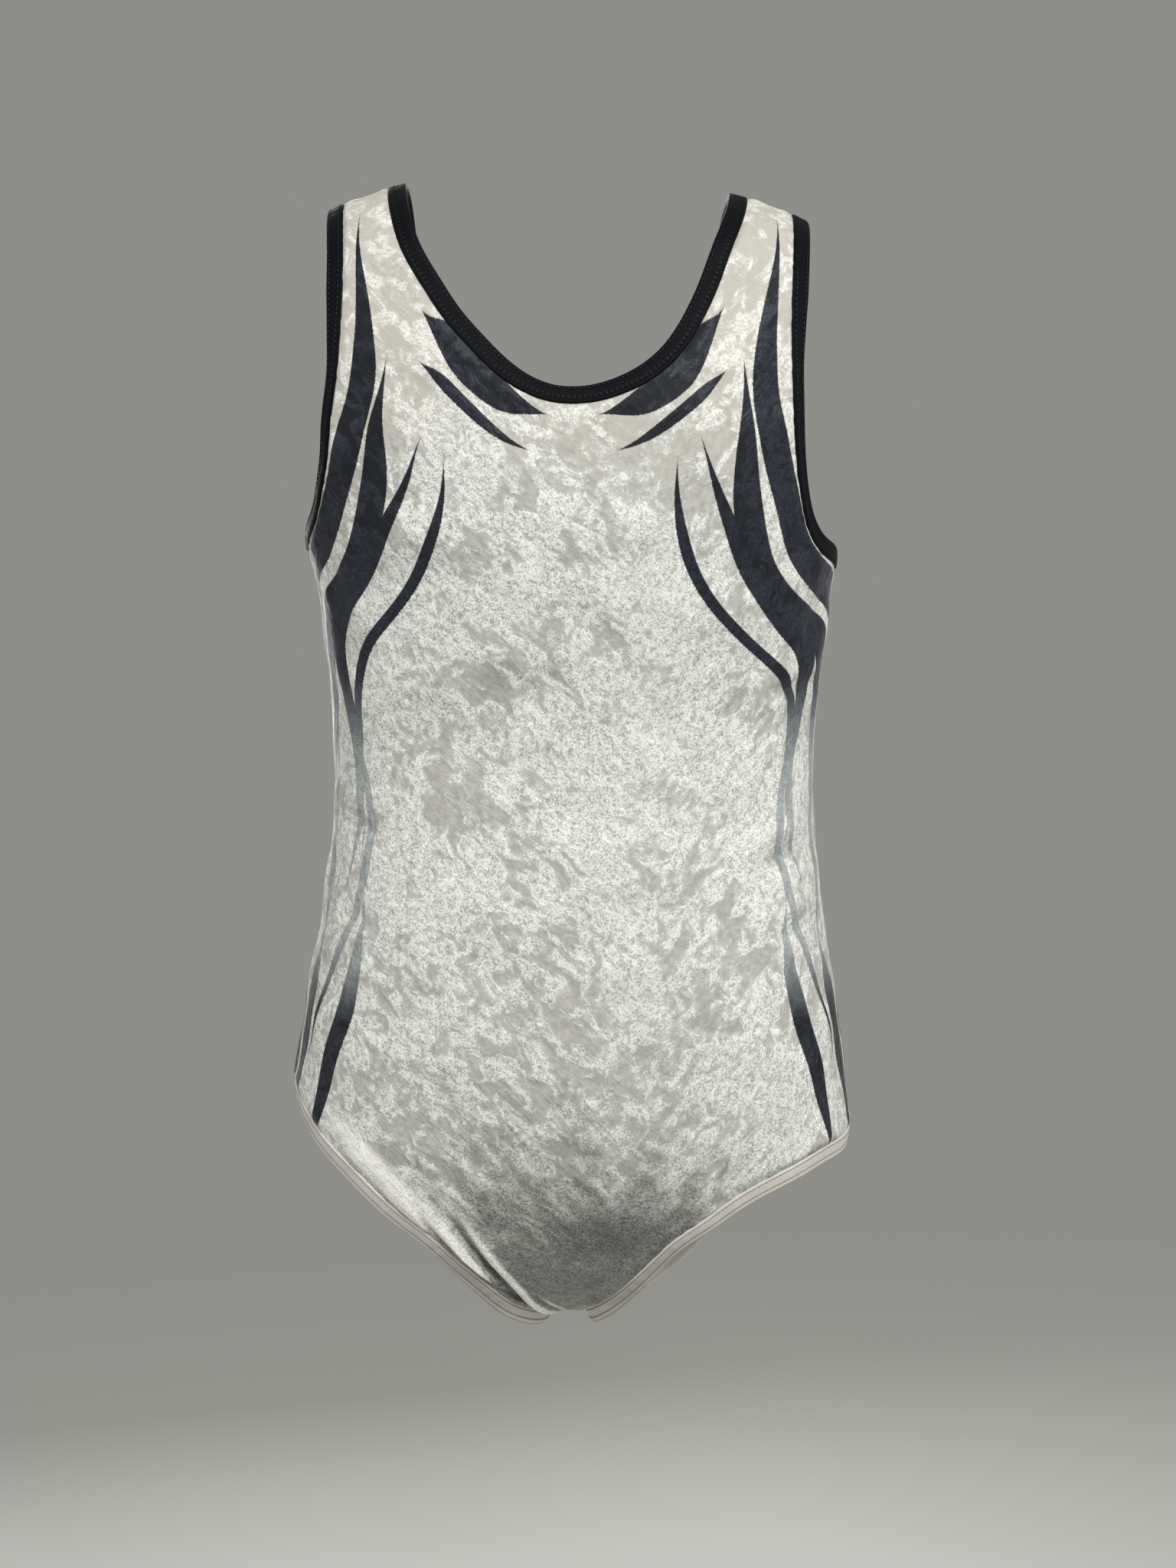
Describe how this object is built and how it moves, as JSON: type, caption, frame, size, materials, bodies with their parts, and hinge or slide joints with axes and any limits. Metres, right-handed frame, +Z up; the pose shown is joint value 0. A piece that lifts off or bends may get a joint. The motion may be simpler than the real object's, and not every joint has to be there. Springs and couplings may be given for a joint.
{
  "type": "leotard",
  "caption": "Sleeveless scoop-neck gymnastics leotard in its worn shape: a hollow one-piece of stretch velvet with a full seat and bound neck, armholes and leg openings.",
  "frame": {"origin": "midway between the two shoulder straps, at the height of the highest strap, where the wearer's shoulders hold the garment", "axes": "+Z up, -Y is the front, +X is the wearer's left"},
  "size_m": [0.2681, 0.1803, 0.5434],
  "materials": {
    "crushed_velvet": "crushed stretch velvet, silver ivory with plain navy bands",
    "dark_binding": "satin stretch knit binding, navy black",
    "cream_binding": "matt stretch binding, cream"
  },
  "bodies": {
    "root": {"front_panel": "crushed_velvet", "back_panel": "crushed_velvet", "neck_binding": "dark_binding", "armhole_binding_right": "dark_binding", "armhole_binding_left": "dark_binding", "leg_binding_right": "cream_binding", "leg_binding_left": "cream_binding"}
  },
  "joints": []
}
